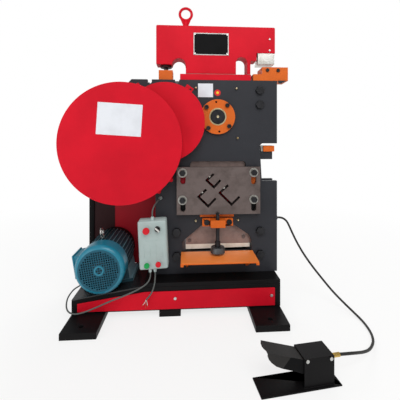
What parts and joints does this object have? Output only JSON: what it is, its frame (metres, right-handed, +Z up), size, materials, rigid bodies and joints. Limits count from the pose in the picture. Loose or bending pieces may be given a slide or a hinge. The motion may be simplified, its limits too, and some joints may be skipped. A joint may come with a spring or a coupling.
{
  "type": "ironworker machine",
  "caption": "Mechanical ironworker with punch, notcher, channel cropper and plate shear on an eccentric-driven ram, with belt and gear drive, motor, control box and foot pedal",
  "frame": {"origin": "the middle of the rectangle of anchor holes, on the floor", "axes": "+X to the machine's right, +Y to the rear, +Z up"},
  "size_m": [1.2099, 0.7441, 1.33],
  "materials": {
    "red_paint": "semi-gloss enamel",
    "charcoal_paint": "satin enamel",
    "orange_paint": "satin enamel",
    "black_paint": "matt enamel",
    "teal_paint": "gloss enamel",
    "plate_steel": "oiled, as rolled",
    "bright_steel": "ground",
    "dark_steel": "blackened",
    "iron": "machined",
    "bronze": "turned",
    "nipple_brass": "turned",
    "belt_rubber": "matt",
    "grey_plastic": "fine texture",
    "lead_plastic": "smooth",
    "red_plastic": "polished",
    "green_plastic": "polished",
    "black_plastic": "smooth"
  },
  "bodies": {
    "frame": {"skids": "black_paint", "base_frame": "black_paint", "top_plate": "black_paint", "motor_plate": "black_paint", "skirt": "red_paint", "front_plate": "charcoal_paint", "rear_plate": "charcoal_paint", "guides": "iron", "cap_strip": "red_paint", "frame_bolts": "dark_steel", "grease_nipples": "nipple_brass", "die_block": "orange_paint", "die_ring": "bright_steel", "tool_block": "orange_paint", "notch_seat": "charcoal_paint", "notch_die": "orange_paint", "channel_plate": "plate_steel", "channel_spacers": "orange_paint", "channel_bolts": "plate_steel", "hold_bracket": "orange_paint", "shelf": "orange_paint", "lower_blade": "bright_steel", "bearing_flange": "orange_paint", "bushes": "bronze", "belts": "belt_rubber", "flywheel_cover": "red_paint", "gear_cover": "red_paint", "belt_guard": "red_paint", "rear_cover": "red_paint", "motor_body": "teal_paint", "fan_cover": "teal_paint", "terminal_box": "teal_paint", "control_box": "grey_plastic", "pedal_base": "black_paint", "motor_lead": "lead_plastic", "mains_lead": "lead_plastic", "control_lead": "lead_plastic", "pedal_cable": "lead_plastic"},
    "ram": {"ram_plate": "plate_steel", "ram_head": "red_paint", "eyebolt": "red_paint", "punch": "dark_steel", "upper_tool": "bright_steel", "upper_blade": "bright_steel", "channel_blade": "plate_steel", "notch_blade": "bright_steel"},
    "eccentric": {"eccentric_shaft": "dark_steel"},
    "bull": {"bull_gear": "iron"},
    "drive": {"flywheel": "iron", "drive_shaft": "bright_steel", "driven_pulley": "iron"},
    "intermediate": {"gear_shaft": "bright_steel"},
    "rotor": {"motor_rotor": "bright_steel"},
    "foot": {"hold_foot": "dark_steel"},
    "spindle": {"hold_spindle": "dark_steel"},
    "emergency": {"e_stop": "red_plastic"},
    "switch": {"selector": "black_plastic"},
    "start": {"start_button": "green_plastic"},
    "stop": {"stop_button": "red_plastic"},
    "tread": {"pedal_tread": "black_paint"}
  },
  "joints": [
    {"name": "drive_spin", "type": "hinge", "parent": "frame", "child": "drive", "pos_m": [-0.23063, -0.013, 0.7097], "axis": [0, 1, 0], "continuous": true},
    {"name": "motor_spin", "type": "hinge", "parent": "frame", "child": "rotor", "pos_m": [-0.315, -0.013, 0.20196], "axis": [0, 1, 0], "continuous": true},
    {"name": "gear_spin", "type": "hinge", "parent": "frame", "child": "intermediate", "pos_m": [-0.05661, -0.013, 0.7999], "axis": [0, 1, 0], "continuous": true},
    {"name": "bull_spin", "type": "hinge", "parent": "frame", "child": "bull", "pos_m": [0.17, -0.013, 0.825], "axis": [0, 1, 0], "continuous": true},
    {"name": "ram_slide", "type": "slide", "parent": "frame", "child": "ram", "axis": [0, 0, 1], "range_m": [-0.015, 0]},
    {"name": "eccentric_turn", "type": "hinge", "parent": "frame", "child": "eccentric", "pos_m": [0.17, -0.013, 0.825], "axis": [0, 1, 0], "range_deg": [0, 180.01]},
    {"name": "hold_slide", "type": "slide", "parent": "frame", "child": "foot", "axis": [0, 0, 1], "range_m": [-0.009, 0.06]},
    {"name": "hold_turn", "type": "hinge", "parent": "foot", "child": "spindle", "pos_m": [0.167, -0.05, 0.3], "axis": [0, 0, 1], "range_deg": [-811, 5401]},
    {"name": "emergency_push", "type": "slide", "parent": "frame", "child": "emergency", "axis": [0, 1, 0], "range_m": [0, 0.006]},
    {"name": "start_push", "type": "slide", "parent": "frame", "child": "start", "axis": [0, 1, 0], "range_m": [0, 0.005], "stiffness_N_per_m": 500, "springref_m": -0.002},
    {"name": "stop_push", "type": "slide", "parent": "frame", "child": "stop", "axis": [0, 1, 0], "range_m": [0, 0.005], "stiffness_N_per_m": 500, "springref_m": -0.002},
    {"name": "switch_turn", "type": "hinge", "parent": "frame", "child": "switch", "pos_m": [-0.08402, -0.107, 0.36393], "axis": [0, 1, 0], "range_deg": [0, 90]},
    {"name": "tread_press", "type": "hinge", "parent": "frame", "child": "tread", "pos_m": [0.38193, -0.44778, 0.066], "axis": [-0.1219, 0.9925, 0], "range_deg": [-16, 0], "stiffness_Nm_per_rad": 18, "springref_deg": 3.44}
  ],
  "couplings": [
    {"joint": "motor_spin", "follows": "drive_spin", "ratio": 4.2222},
    {"joint": "gear_spin", "follows": "drive_spin", "ratio": -0.32432},
    {"joint": "bull_spin", "follows": "drive_spin", "ratio": 0.060811},
    {"joint": "eccentric_turn", "follows": "ram_slide", "rad_per_m": -209.44},
    {"joint": "hold_turn", "follows": "hold_slide", "rad_per_m": 1570.8}
  ]
}
